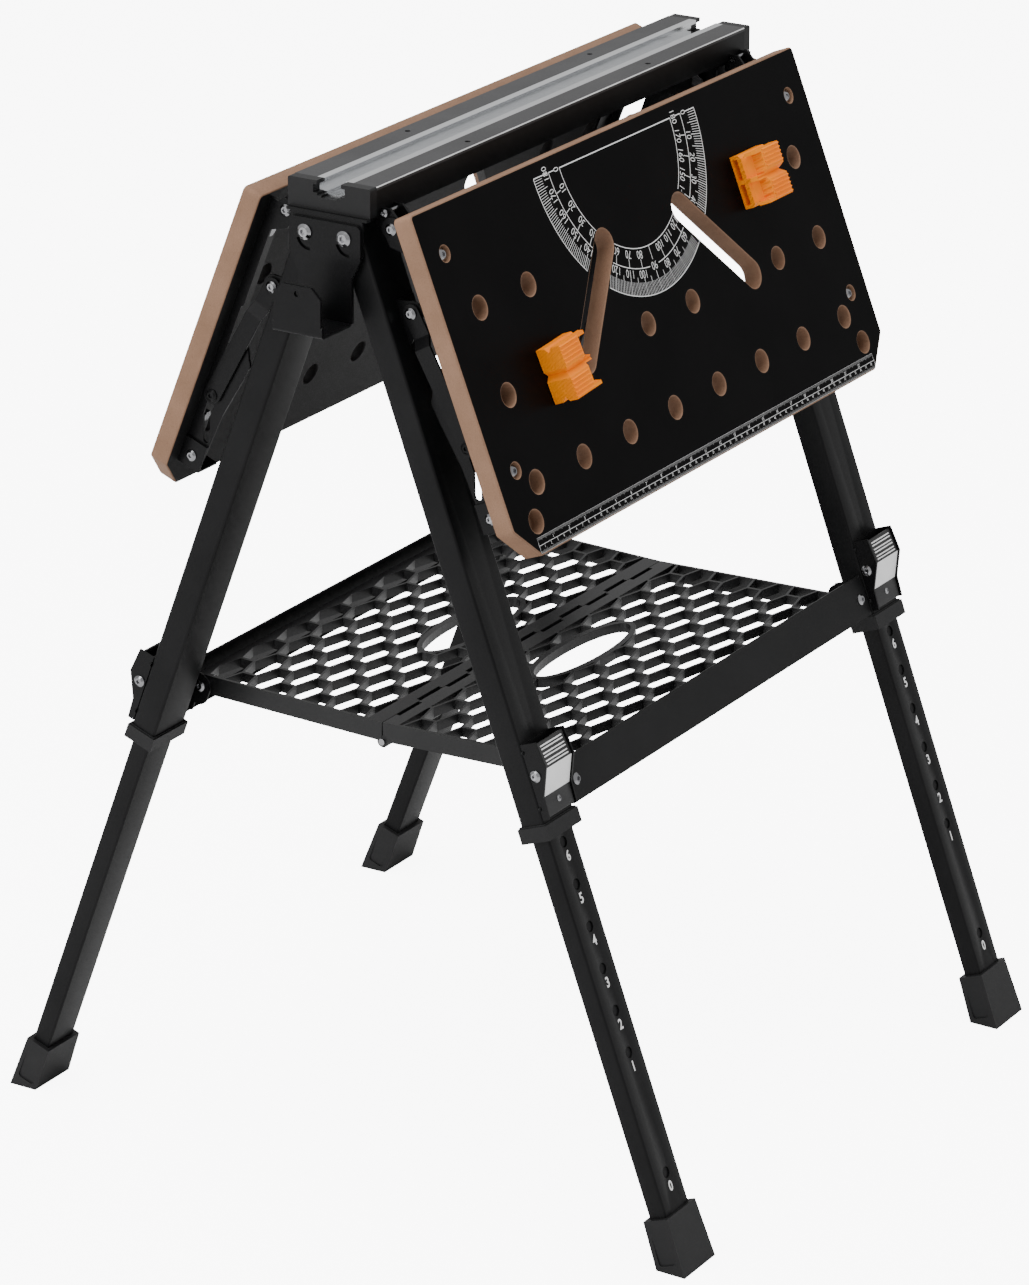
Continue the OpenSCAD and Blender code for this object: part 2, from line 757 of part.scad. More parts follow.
module cells() {
    for (row = [0 : 8], i = [-5 : 5]) {
        shift = (row % 2 == 0) ? 0 : cell_dx / 2;
        translate([i * cell_dx + shift, row_first - row * cell_dy]) children();
    }
}

module tray(first) {
    rim = 3;
    rib_z = tray_top - 8.8;
    tongue = 4.8;
    inner = 16.3;
    tongue_dx = tray_half / 6;
    color("#1d1d1f") difference() {
        union() {
            difference() {
                box([-tray_half, tray_in_y, tray_bottom], [tray_half, tray_out_y, tray_top]);
                // the cells are open right through, above a hollow that leaves the rim deeper
                translate([0, 0, rib_z - 1]) linear_extrude(height = 20) difference() {
                    intersection() {
                        rect([rim - tray_half, inner], [tray_half - rim, tray_out_y - rim]);
                        cells() cell_outline();
                    }
                    hand_outline(6);
                }
                box([rim - tray_half, 9, tray_bottom - 1], [tray_half - rim, tray_out_y - rim, rib_z]);
                translate([0, 0, tray_bottom - 1]) linear_extrude(height = 30) hand_outline(0);
            }
            for (i = [0 : knuckles - 1]) if (i % 2 == first) {
                rod_x(knuckle_x(i) + 0.3, knuckle_x(i + 1) - 0.3, knuckle_r);
            }
        }
        // room for the other tray's knuckles, and for its tongues along the top of the seam
        for (i = [0 : knuckles - 1]) if (i % 2 != first) {
            rod_x(knuckle_x(i) - 0.3, knuckle_x(i + 1) + 0.3, knuckle_r + 0.4);
        }
        for (i = [-5 : 5]) if (abs(i) % 2 == first) {
            box([i * tongue_dx - 18, 0, tray_top - 5], [i * tongue_dx + 18, tongue, tray_top + 1]);
        }
        rod_x(-tray_half - 1, tray_half + 1, shelf_pin_r + fit);
        both_ends() translate([0, tray_span, tray_lift]) rod_x(tray_half - 12, tray_half + 2, pin_r + fit);
    }
}
module back_tray() { tray_frame() tray(0); }
module front_tray() { front() tray_frame() tray(1); }

module shelf_rail() {
    t = upper_t / 2;
    end_x = leg_x - upper_w / 2 - 3.1;
    top_s = 476.5;
    low_s = 515.5;
    skin = 1.5;
    color("#161616") leg_frame() difference() {
        union() {
            box([-end_x, t - skin, -low_s], [end_x, t, -top_s]);
            box([-end_x, -6, -low_s], [end_x, t, skin - low_s]);
            both_ends() prism_x(tray_end_x - 2, tray_end_x) {
                rect([tray_pivot_n, -low_s], [t, -top_s - 1]);
                translate([tray_pivot_n, -tray_pivot_s]) circle(r = 10.5);
                rect([tray_pivot_n - 10.5, -tray_pivot_s - 9], [tray_pivot_n, -tray_pivot_s]);
                translate([tray_pivot_n - 1.5, -tray_pivot_s - 9]) circle(r = 9);
            }
        }
        both_ends() translate([0, tray_pivot_n, -tray_pivot_s]) rod_x(240, 260, pin_r + 0.1);
        for (x = [-253.3, 253.3]) translate([x, 0, -497.5]) rod_y(t - 5, t + 1, 2.6);
    }
}
module back_shelf_rail() { shelf_rail(); }
module front_shelf_rail() { front() shelf_rail(); }

module rail_bolts() {
    t = upper_t / 2;
    color("silver") both_ends() leg_frame() {
        translate([0, tray_pivot_n, -tray_pivot_s]) {
            rod_x(tray_half - 11, tray_end_x + 0.1, pin_r);
            head_x(tray_end_x, 5.2, 2.4);
        }
        translate([253.3, 0, -497.5]) {
            head_y(t, 5.2, 2.6);
            rod_y(t - 4, t + 0.1, 2.5);
        }
    }
}
module back_rail_bolts() { rail_bolts(); }
module front_rail_bolts() { front() rail_bolts(); }

// ---- Clamping dogs ----

// A dog stands on the board's outer face. +X is its ribbed jaw and -X its hollow back,
// and its stem fills a dog hole.
module dog() {
    jaw = 19;
    back = dog_len - jaw;
    half = dog_w / 2;
    base = 8;
    rib = 1.2;
    skin = dog_h - rib;
    scoop = 16 - back;
    color("orange") difference() {
        union() {
            box([-back, 0, -half], [jaw, base + 1, half]);
            prism_z(-half, half) polygon([
                [-back, base], [jaw, base], [jaw, skin], [5 - back, skin], [-back, base + 6]
            ]);
            // five ribs on each half of the outer face
            for (side = [-1, 1], i = [0 : 4]) translate([0, 0, side * (7.4 + 3.7 * i)]) {
                prism_x(scoop + 1, jaw) polygon([[skin - 0.5, -1.5], [dog_h, 0.2], [skin - 0.5, 1.5]]);
            }
            translate([0, board_in_n - board_out_n + 2, 0]) rod_y(0, board_t, dog_hole_r - air);
        }
        // V grooves for round stock: across the top, down the jaw and along both ends
        translate([-back - 1, dog_h, 0]) rotate([45, 0, 0]) box([0, -4, -4], [60, 4, 4]);
        translate([jaw, -1, 0]) rotate([0, 45, 0]) box([-3.2, 0, -3.2], [3.2, 40, 3.2]);
        both_ends_z(half) prism_x(-back - 1, jaw + 1) polygon([[base - 0.5, 1], [base + 4, -4.2], [base + 8.5, 1]]);
        // two pockets in the base and two scoops open at the back and top
        for (side = [-1, 1]) {
            z0 = min(side * 2, side * (half - 3));
            z1 = max(side * 2, side * (half - 3));
            box([-back - 1, 1.6, z0], [13 - back, base - 1.4, z1]);
            prism_z(z0, z1) polygon([
                [-back - 1, base + 3], [4 - back, base + 3], [12 - back, base + 7], [scoop, dog_h + 1],
                [-back - 1, dog_h + 1]
            ]);
        }
    }
}
// An outline in X and Y, extruded along Z
module prism_z(z0, z1) { translate([0, 0, z0]) linear_extrude(height = z1 - z0) children(); }
// An outline in Y and Z drawn from a face at half, on the upper and the lower end of a dog
module both_ends_z(half) {
    translate([0, 0, half]) children();
    mirror([0, 0, 1]) translate([0, 0, half]) children();
}
module on_board(x, w, turn) {
    wing_frame() translate([x, board_out_n + 0.35, -w]) rotate([0, turn, 0]) children();
}
module far_dog() { front() on_board(2.5 * dog_pitch, row_w[0], 0) dog(); }
module near_dog() { front() near() on_board(2.5 * dog_pitch, row_w[1], 4) dog(); }

beam_channel();
top_strips();
t_track();
end_caps();
end_bracket_near();
end_bracket_far();
wing_hinge_brackets();
beam_cross_pins();
leg_pivot_bolts();
front_leg_near();
front_leg_far();
front_collars();
front_latch_frames();
front_arm_ears();
front_leg_bolts();
front_latch_springs();
back_leg_near();
back_leg_far();
back_collars();
back_latch_frames();
back_arm_ears();
back_leg_bolts();
back_latch_springs();
front_near_lower_leg();
front_near_foot();
front_near_lever();
front_near_lock_pin();
front_far_lower_leg();
front_far_foot();
front_far_lever();
front_far_lock_pin();
back_near_lower_leg();
back_near_foot();
back_near_lever();
back_near_lock_pin();
back_far_lower_leg();
back_far_foot();
back_far_lever();
back_far_lock_pin();
front_board();
front_board_rails();
front_board_screws();
front_hinge_pins();
back_board();
back_board_rails();
back_board_screws();
back_hinge_pins();
front_near_stay();
front_far_stay();
back_near_stay();
back_far_stay();
shelf_hinge_pin();
front_tray();
back_tray();
front_shelf_rail();
back_shelf_rail();
front_rail_bolts();
back_rail_bolts();
near_dog();
far_dog();
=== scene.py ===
import math

import bmesh
import bpy
from mathutils import Matrix, Vector
from mathutils.geometry import delaunay_2d_cdt


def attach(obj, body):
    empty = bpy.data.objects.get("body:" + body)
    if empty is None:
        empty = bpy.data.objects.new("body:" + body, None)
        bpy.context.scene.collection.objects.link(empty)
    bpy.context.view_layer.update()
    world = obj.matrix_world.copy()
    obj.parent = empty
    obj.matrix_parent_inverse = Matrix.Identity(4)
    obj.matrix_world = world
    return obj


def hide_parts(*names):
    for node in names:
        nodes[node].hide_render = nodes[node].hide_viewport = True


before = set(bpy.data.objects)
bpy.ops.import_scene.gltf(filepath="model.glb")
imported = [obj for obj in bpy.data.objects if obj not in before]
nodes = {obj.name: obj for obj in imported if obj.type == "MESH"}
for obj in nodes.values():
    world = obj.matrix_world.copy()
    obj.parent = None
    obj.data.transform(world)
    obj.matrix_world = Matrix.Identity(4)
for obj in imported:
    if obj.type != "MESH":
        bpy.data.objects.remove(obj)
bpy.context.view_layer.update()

MM = 0.001

# ---------------------------------------------------------------- design numbers (mm)
LEG_TILT = math.radians(20.4)
WING_TILT = math.radians(21.645)
# leg pivot and board hinge, as (y, z)
PIVOT = (19.3, 865.0)
HINGE = (52.0, 873.0)
LEG_X = 292.0
BOARD_OUT = 35.0
BOARD_IN = 17.0
BOARD_TOP_W = -8.4
BOARD_HALF = 320.5
BOARD_END_W = BOARD_TOP_W + 302.0
CHAMFER = 28.7
# dog holes: rows down the board, and columns in pitches from its middle
PITCH = 76.2
ROW_W = (84.4, 160.4, 236.4)
ROW_COLUMNS = ((2.5, 3.5), (0.5, 2.5, 3.5), (0.5, 1.5, 2.5, 3.5))
SCREWS = ((290.0, 31.6), (290.0, 219.6))
SOCKET = (285.0, 265.6)
SLOT_FROM = (64.6, 80.9)
SLOT_TO = (142.8, 162.8)
SLOT_R = 13.0
HOLE_R = 10.0
HOLE_EASE = 0.9
SOCKET_DEPTH = 12.0
SCREW_R = 7.0
SCREW_DEPTH = 4.0
SCREW_EASE = 0.7
BOARD_CORNER = 4.5
BOARD_EASE = 1.6
BARE_DEPTH = 6.0
# half width, half depth, corner radius and wall of the leg tubes
UPPER_TUBE = (23.7, 12.2, 2.6, 1.5)
LOWER_TUBE = (19.5, 8.8, 2.2, 1.4)
# from and to, down the leg from its pivot
UPPER_SPAN = (-10, 520)
LOWER_SPAN = (455, 905)
UPPER_HOLE_R = 4.7
LOWER_HOLE_R = 4.9
LOCK_S = 501.9
HOLE_STEP = 38.1
LAST_HOLE = 840.0
CHANNEL_HALF = 305.9
INCH = 25.4
FIGURE_DROP = 13.0
# the strong highlight on each top strip's edge, painted on as a light strip, as (y, z) of its two sides
STRIP_EDGE = ((39.60, 907.97), (40.38, 907.19))
# strength that makes the floor and the sky read white to the camera
CAMERA_GLOW = 8.0
# names and signs: front is -Y and back +Y, near is -X and far +X
SIDES = (("front", -1), ("back", 1))
ENDS = (("near", -1), ("far", 1))
LEGS = [(sd, side, en, end) for sd, side in SIDES for en, end in ENDS]


def side_frame(side, y, z, tilt):
    """-Z runs down a leg or board and +Y points outward, on the back (+1) or the front (-1)."""
    m = Matrix.Translation((0, y, z)) @ Matrix.Rotation(tilt, 4, "X")
    if side < 0:
        m = Matrix.Scale(-1, 4, (0, 1, 0)) @ m
    return m


def leg_frame(side):
    return side_frame(side, PIVOT[0], PIVOT[1], LEG_TILT)


def wing_frame(side):
    return side_frame(side, HINGE[0], HINGE[1], WING_TILT)


SCALE = Matrix.Scale(MM, 4)


# ---------------------------------------------------------------- materials
def new_material(name):
    m = bpy.data.materials.new(name)
    m.use_nodes = True
    nt = m.node_tree
    return m, nt, nt.nodes["Principled BSDF"]


def node(nt, kind, **settings):
    n = nt.nodes.new(kind)
    for k, v in settings.items():
        if hasattr(n, k):
            setattr(n, k, v)
        else:
            n.inputs[k.replace("_", " ")].default_value = v
    return n


def object_coords(nt, scale=(1, 1, 1)):
    tc = nt.nodes.new("ShaderNodeTexCoord")
    mp = nt.nodes.new("ShaderNodeMapping")
    mp.inputs["Scale"].default_value = scale
    nt.links.new(tc.outputs["Object"], mp.inputs["Vector"])
    return mp.outputs["Vector"]


def noise(nt, vector, scale, detail=3.0, roughness=0.55):
    n = node(nt, "ShaderNodeTexNoise", Scale=scale, Detail=detail, Roughness=roughness)
    nt.links.new(vector, n.inputs["Vector"])
    return n.outputs["Fac"]


def ramp(nt, value, stops):
    r = nt.nodes.new("ShaderNodeValToRGB")
    e = r.color_ramp.elements
    while len(e) < len(stops):
        e.new(0.5)
    for item, (pos, col) in zip(e, stops):
        item.position = pos
        item.color = (*col, 1) if len(col) == 3 else col
    nt.links.new(value, r.inputs["Fac"])
    return r.outputs["Color"]


def to_range(nt, value, lo, hi, start=0.3, stop=0.7):
    r = node(nt, "ShaderNodeMapRange")
    r.inputs["From Min"].default_value = start
    r.inputs["From Max"].default_value = stop
    r.inputs["To Min"].default_value = lo
    r.inputs["To Max"].default_value = hi
    nt.links.new(value, r.inputs["Value"])
    return r.outputs["Result"]


def bump(nt, bsdf, height, strength, distance):
    b = node(nt, "ShaderNodeBump", Strength=strength, Distance=distance)
    nt.links.new(height, b.inputs["Height"])
    nt.links.new(b.outputs["Normal"], bsdf.inputs["Normal"])


def grained(name, dark, light, rough, grain, strength, distance, metallic=0.0, stretch=(1, 1, 1), spec=0.5):
    """Paint or plastic: slow colour drift, uneven gloss and a fine surface grain."""
    m, nt, b = new_material(name)
    v = object_coords(nt, stretch)
    slow = noise(nt, v, 14, 4)
    fine = noise(nt, v, grain, 2)
    nt.links.new(ramp(nt, slow, [(0.35, dark), (0.65, light)]), b.inputs["Base Color"])
    nt.links.new(to_range(nt, fine, *rough), b.inputs["Roughness"])
    b.inputs["Metallic"].default_value = metallic
    b.inputs["Specular IOR Level"].default_value = spec
    bump(nt, b, fine, strength, distance)
    return m


black_steel = grained("black_powder_coat", (0.0036, 0.0036, 0.0039), (0.0060, 0.0060, 0.0064),
                      (0.34, 0.46), 2600, 0.25, 0.00012, spec=0.13)
black_fitting = grained("black_fitting", (0.0032, 0.0032, 0.0035), (0.0052, 0.0052, 0.0056),
                        (0.26, 0.38), 2200, 0.2, 0.0001, spec=0.15)
strip_paint = grained("strip_paint", (0.022, 0.022, 0.023), (0.031, 0.031, 0.032),
                      (0.38, 0.5), 1800, 0.25, 0.0001, spec=0.3)
plastic_cap = grained("moulded_plastic", (0.0060, 0.0060, 0.0065), (0.0095, 0.0095, 0.0100),
                      (0.40, 0.54), 1500, 0.35, 0.00015, spec=0.22)
plastic_foot = grained("foot_plastic", (0.0065, 0.0065, 0.0070), (0.0105, 0.0105, 0.0110),
                       (0.45, 0.6), 1400, 0.4, 0.0002, spec=0.24)
plastic_tray = grained("tray_plastic", (0.0075, 0.0075, 0.0080), (0.0115, 0.0115, 0.0120),
                       (0.30, 0.42), 1700, 0.25, 0.00012, spec=0.3)
zinc = grained("zinc_plate", (0.24, 0.24, 0.25), (0.36, 0.36, 0.37),
               (0.12, 0.24), 900, 0.15, 0.00008, metallic=1.0)
pin_steel = grained("turned_steel", (0.45, 0.45, 0.46), (0.6, 0.6, 0.61),
                    (0.25, 0.36), 1200, 0.2, 0.00008, metallic=1.0)
aluminium = grained("drawn_aluminium", (0.66, 0.67, 0.685), (0.82, 0.83, 0.84),
                    (0.16, 0.24), 900, 0.08, 0.00004, metallic=1.0, stretch=(0.02, 1, 1))
lever_silver = grained("lever_silver", (0.86, 0.86, 0.86), (0.94, 0.94, 0.94),
                       (0.3, 0.42), 1500, 0.2, 0.00008)
lever_grey = grained("lever_grey", (0.016, 0.016, 0.0165), (0.024, 0.024, 0.0245),
                     (0.34, 0.46), 1500, 0.25, 0.0001, spec=0.3)
dog_orange = grained("dog_orange", (0.95, 0.225, 0.0), (1.0, 0.290, 0.0),
                     (0.34, 0.46), 1300, 0.25, 0.00012, spec=0.10)
laminate = grained("black_laminate", (0.0014, 0.0013, 0.0014), (0.0024, 0.0022, 0.0023),
                   (0.30, 0.40), 1400, 0.12, 0.00006, spec=0.03)
board_back = grained("board_underside", (0.006, 0.006, 0.0063), (0.010, 0.010, 0.0105),
                     (0.5, 0.62), 700, 0.3, 0.00015, spec=0.2)
# light grey that paints the highlight along each top strip's edge
edge_highlight_paint = grained("painted_edge_highlight", (0.50, 0.50, 0.50), (0.66, 0.66, 0.66),
                    (0.3, 0.42), 1500, 0.1, 0.00004)
print_fine = grained("fine_print", (0.17, 0.17, 0.17), (0.21, 0.21, 0.21),
                     (0.42, 0.55), 3000, 0.2, 0.00003)
print_white = grained("white_print", (0.80, 0.80, 0.80), (0.88, 0.88, 0.88),
                      (0.42, 0.55), 3000, 0.2, 0.00003)


def fibreboard():
    """Bare MDF: tan with short fibres, darker specks and a felt-like surface."""
    m, nt, b = new_material("bare_fibreboard")
    v = object_coords(nt)
    slow = noise(nt, v, 22, 5)
    fibre = noise(nt, object_coords(nt, (0.35, 1, 1)), 900, 6, 0.75)
    speck = noise(nt, v, 420, 4, 0.8)
    base = ramp(nt, slow, [(0.3, (0.205, 0.116, 0.070)), (0.7, (0.260, 0.150, 0.094))])
    tone = ramp(nt, fibre, [(0.32, (0.78, 0.76, 0.74)), (0.62, (1.06, 1.06, 1.06))])
    dots = ramp(nt, speck, [(0.30, (0.62, 0.58, 0.55)), (0.40, (1, 1, 1))])
    mix = node(nt, "ShaderNodeMix", data_type="RGBA", blend_type="MULTIPLY")
    mix.inputs["Factor"].default_value = 1.0
    nt.links.new(base, mix.inputs["A"])
    nt.links.new(tone, mix.inputs["B"])
    mix2 = node(nt, "ShaderNodeMix", data_type="RGBA", blend_type="MULTIPLY")
    mix2.inputs["Factor"].default_value = 0.6
    nt.links.new(mix.outputs["Result"], mix2.inputs["A"])
    nt.links.new(dots, mix2.inputs["B"])
    nt.links.new(mix2.outputs["Result"], b.inputs["Base Color"])
    nt.links.new(to_range(nt, fibre, 0.62, 0.8), b.inputs["Roughness"])
    b.inputs["Specular IOR Level"].default_value = 0.3
    bump(nt, b, fibre, 0.35, 0.0002)
    return m


mdf = fibreboard()


def score(material, strength, distance):
    """Diagonal scoring over a material's own grain, on faces turned along the beam."""
    nt = material.node_tree
    b = nt.nodes["Principled BSDF"]
    grain = b.inputs["Normal"].links[0].from_node
    wave = node(nt, "ShaderNodeTexWave", wave_type="BANDS", bands_direction="DIAGONAL",
                Scale=95.0, Distortion=0.0)
    nt.links.new(object_coords(nt), wave.inputs["Vector"])
    over = node(nt, "ShaderNodeBump", Strength=strength, Distance=distance)
    coords = nt.nodes.new("ShaderNodeTexCoord")
    parts = nt.nodes.new("ShaderNodeSeparateXYZ")
    size = node(nt, "ShaderNodeMath", operation="ABSOLUTE")
    mask = node(nt, "ShaderNodeMath", operation="GREATER_THAN")
    height = node(nt, "ShaderNodeMath", operation="MULTIPLY")
    mask.inputs[1].default_value = 0.9
    nt.links.new(coords.outputs["Normal"], parts.inputs[0])
    nt.links.new(parts.outputs["X"], size.inputs[0])
    nt.links.new(size.outputs[0], mask.inputs[0])
    nt.links.new(mask.outputs[0], height.inputs[0])
    nt.links.new(wave.outputs["Fac"], height.inputs[1])
    nt.links.new(height.outputs[0], over.inputs["Height"])
    nt.links.new(grain.outputs["Normal"], over.inputs["Normal"])
    nt.links.new(over.outputs["Normal"], b.inputs["Normal"])


score(dog_orange, 0.8, 0.0016)


# ---------------------------------------------------------------- CAD nodes: finish and softened edges
def soften(o, width, segments=2, angle=30):
    m = o.modifiers.new("edges", "BEVEL")
    m.width = width * MM
    m.segments = segments
    m.limit_method = "ANGLE"
    m.angle_limit = math.radians(angle)


def finish_node(name, material, edge=0.0, segments=2, angle=35):
    o = nodes[name]
    if not o.material_slots:
        o.data.materials.append(material)
    for s in o.material_slots:
        s.material = material
    if edge:
        soften(o, edge, segments, angle)


for n in nodes:
    finish_node(n, black_steel)
for n in ("wing_hinge_brackets", "end_bracket_near", "end_bracket_far"):
    finish_node(n, black_fitting, 0.5)
finish_node("beam_channel", black_steel, 0.5)
finish_node("top_strips", strip_paint)
finish_node("t_track", aluminium, 0.25)
finish_node("end_caps", plastic_cap, 0.7, 3)
finish_node("beam_cross_pins", zinc)
finish_node("leg_pivot_bolts", zinc)
finish_node("shelf_hinge_pin", zinc)
for sd in ("front", "back"):
    finish_node(f"{sd}_collars", plastic_cap, 0.8, 3)
    finish_node(f"{sd}_latch_frames", black_fitting, 0.35)
    finish_node(f"{sd}_arm_ears", black_fitting, 0.5)
    finish_node(f"{sd}_leg_bolts", zinc)
    finish_node(f"{sd}_latch_springs", pin_steel)
    finish_node(f"{sd}_board_rails", black_fitting, 0.4)
    finish_node(f"{sd}_board_screws", zinc)
    finish_node(f"{sd}_hinge_pins", zinc)
    finish_node(f"{sd}_rail_bolts", zinc)
    finish_node(f"{sd}_tray", plastic_tray)
    finish_node(f"{sd}_shelf_rail", black_steel, 0.6)
    for end in ("near", "far"):
        finish_node(f"{sd}_{end}_foot", plastic_foot, 1.2, 3)
        finish_node(f"{sd}_{end}_lock_pin", pin_steel)
        finish_node(f"{sd}_{end}_stay", black_fitting, 0.5)
for end in ("near", "far"):
    finish_node(f"{end}_dog", dog_orange, 0.45, 2, 25)


# ---------------------------------------------------------------- plates with rounded rims
def round_polygon(corners, radius, seg=6):
    """Points and outward directions round a convex outline listed counter-clockwise."""
    pts, outs = [], []
    count = len(corners)
    for i, c in enumerate(corners):
        a = Vector(corners[i - 1]) - Vector(c)
        b = Vector(corners[(i + 1) % count]) - Vector(c)
        a.normalize()
        b.normalize()
        half = math.acos(max(-1, min(1, a.dot(b)))) / 2
        centre = Vector(c) + (a + b).normalized() * (radius / math.sin(half))
        na = Vector((-a.y, a.x))
        nb = Vector((b.y, -b.x))
        a0 = math.atan2(na.y, na.x)
        a1 = math.atan2(nb.y, nb.x)
        while a1 < a0:
            a1 += 2 * math.pi
        for k in range(seg + 1):
            t = a0 + (a1 - a0) * k / seg
            d = Vector((math.cos(t), math.sin(t)))
            pts.append(centre + d * radius)
            outs.append(d)
    return pts, outs


def circle_loop(cx, cy, r, seg=40):
    ds = [Vector((math.cos(2 * math.pi * k / seg), math.sin(2 * math.pi * k / seg))) for k in range(seg)]
    return [Vector((cx, cy)) + d * r for d in ds], [-d for d in ds]


def slot_loop(p, q, r, seg=20):
    p, q = Vector(p), Vector(q)
    along = (q - p).normalized()
    base = math.atan2(along.y, along.x)
    pts, outs = [], []
    for centre, start in ((q, base - math.pi / 2), (p, base + math.pi / 2)):
        for k in range(seg + 1):
            t = start + math.pi * k / seg
            d = Vector((math.cos(t), math.sin(t)))
            pts.append(centre + d * r)
            outs.append(-d)
    return pts, outs


def ring(loop, inset):
    return [p - o * inset for p, o in zip(*loop)]


def inside(poly, p):
    hit = False
    for i in range(len(poly)):
        a, b = poly[i - 1], poly[i]
        if (a.y > p.y) != (b.y > p.y) and p.x < (b.x - a.x) * (p.y - a.y) / (b.y - a.y) + a.x:
            hit = not hit
    return hit


def fill(outer, holes):
    """Triangles of an outline with holes."""
    verts, edges = [], []
    for poly in [outer] + holes:
        first = len(verts)
        verts += poly
        edges += [(first + k, first + (k + 1) % len(poly)) for k in range(len(poly))]
    out, _, faces, *_ = delaunay_2d_cdt(verts, edges, [], 1, 1e-6)
    keep = []
    for f in faces:
        c = sum((out[i] for i in f), Vector((0, 0))) / len(f)
        if inside(outer, c) and not any(inside(h, c) for h in holes):
            keep.append(f)
    return out, keep


class Builder:
    """Collects faces with a material number each, in mm."""

    def __init__(self):
        self.v, self.f, self.m = [], [], []

    def add(self, verts, faces, material=0):
        first = len(self.v)
        self.v += [tuple(p) for p in verts]
        self.f += [tuple(first + i for i in f) for f in faces]
        self.m += [material] * len(faces)

    def rings(self, loops, material=0, closed=True):
        """Skins a list of equally long rings of 3-D points."""
        size = len(loops[0])
        verts = [p for loop in loops for p in loop]
        faces = []
        for r in range(len(loops) - 1):
            for k in range(size if closed else size - 1):
                a, b = r * size + k, r * size + (k + 1) % size
                faces.append((a, b, b + size, a + size))
        self.add(verts, faces, material)

    def object(self, name, materials, body, place, sharp=32, flat=()):
        mesh = bpy.data.meshes.new(name)
        mesh.from_pydata(self.v, [], self.f)
        for i, p in enumerate(mesh.polygons):
            p.material_index = self.m[i]
        mesh.transform(SCALE @ place)
        bm = bmesh.new()
        bm.from_mesh(mesh)
        bmesh.ops.remove_doubles(bm, verts=bm.verts, dist=2e-6)
        bmesh.ops.recalc_face_normals(bm, faces=bm.faces)
        bm.to_mesh(mesh)
        bm.free()
        for m in materials:
            mesh.materials.append(m)
        for p in mesh.polygons:
            p.use_smooth = True
        mesh.set_sharp_from_angle(angle=math.radians(sharp))
        for p in mesh.polygons:
            if p.material_index in flat:
                p.use_smooth = False
        o = bpy.data.objects.new(name, mesh)
        bpy.context.scene.collection.objects.link(o)
        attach(o, body)
        return o


def arc_profile(radius, top, bottom, seg=5):
    """(inset, height) steps of a rim rounded at both faces."""
    steps = []
    for k in range(seg + 1):
        t = math.pi / 2 * k / seg
        steps.append((radius * (1 - math.sin(t)), top - radius * (1 - math.cos(t))))
    low = min(1.2, radius)
    for k in range(4):
        t = math.pi / 2 * k / 3
        steps.append((low * (1 - math.cos(t)), bottom + low * (1 - math.sin(t))))
    return steps


def lift(points, n):
    return [(p.x, n, -p.y) for p in points]


def clamp_slot(end, radius):
    """One slanted clamp slot, toward the near (-1) or far (+1) end."""
    return slot_loop((end * SLOT_FROM[0], SLOT_FROM[1]), (end * SLOT_TO[0], SLOT_TO[1]), radius)


def board(name, side):
    """One board: laminate on top, bare rim and hole walls, and a paint-coated underside."""
    corners = [(-BOARD_HALF, BOARD_TOP_W), (BOARD_HALF, BOARD_TOP_W), (BOARD_HALF, BOARD_END_W - CHAMFER),
               (BOARD_HALF - CHAMFER, BOARD_END_W), (CHAMFER - BOARD_HALF, BOARD_END_W),
               (-BOARD_HALF, BOARD_END_W - CHAMFER)]
    outer = round_polygon(corners, BOARD_CORNER)
    b = Builder()
    rim = arc_profile(BOARD_EASE, BOARD_OUT, BOARD_IN)
    b.rings([lift(ring(outer, d), n) for d, n in rim], 1)
    through, blind = [], []
    for row, columns in zip(ROW_W, ROW_COLUMNS):
        for c in columns:
            for e in (-1, 1):
                through.append(circle_loop(e * c * PITCH, row, HOLE_R, 44))
    for e in (-1, 1):
        through.append(clamp_slot(e, SLOT_R))
        for x, w in SCREWS:
            blind.append((circle_loop(e * x, w, SCREW_R, 32), SCREW_DEPTH))
        blind.append((circle_loop(e * SOCKET[0], SOCKET[1], HOLE_R, 44), SOCKET_DEPTH))
    hole_rim = arc_profile(HOLE_EASE, BOARD_OUT, BOARD_IN, 3)
    # on the back board only, the lower part of each hole wall takes the dark underside material
    change = BOARD_OUT - BARE_DEPTH
    bare = [step for step in hole_rim if step[1] > change] + [(0, change)]
    dark_lower_wall = [(0, change)] + [step for step in hole_rim if step[1] < change]
    for loop in through:
        if side > 0:
            b.rings([lift(ring(loop, d), n) for d, n in bare], 1)
            b.rings([lift(ring(loop, d), n) for d, n in dark_lower_wall], 2)
        else:
            b.rings([lift(ring(loop, d), n) for d, n in hole_rim], 1)
    for loop, depth in blind:
        steps = [(SCREW_EASE, BOARD_OUT), (0.2, BOARD_OUT - 0.2), (0, BOARD_OUT - SCREW_EASE),
                 (0, BOARD_OUT - depth)]
        b.rings([lift(ring(loop, d), n) for d, n in steps], 1)
        floor = lift(ring(loop, 0), BOARD_OUT - depth)
        b.add(floor, [tuple(range(len(floor)))], 1)
    top_holes = [ring(l, HOLE_EASE) for l in through] + [ring(l, SCREW_EASE) for l, _ in blind]
    v, f = fill(ring(outer, rim[0][0]), top_holes)
    b.add(lift(v, BOARD_OUT), f, 0)
    v, f = fill(ring(outer, rim[-1][0]), [ring(l, hole_rim[-1][0]) for l in through])
    b.add(lift(v, BOARD_IN), f, 2)
    o = b.object(f"{name}_board_panel", [laminate, mdf, board_back], f"{name}_leaf", wing_frame(side),
                 flat=(0, 2))
    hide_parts(f"{name}_board")


for sd, side in SIDES:
    board(sd, side)


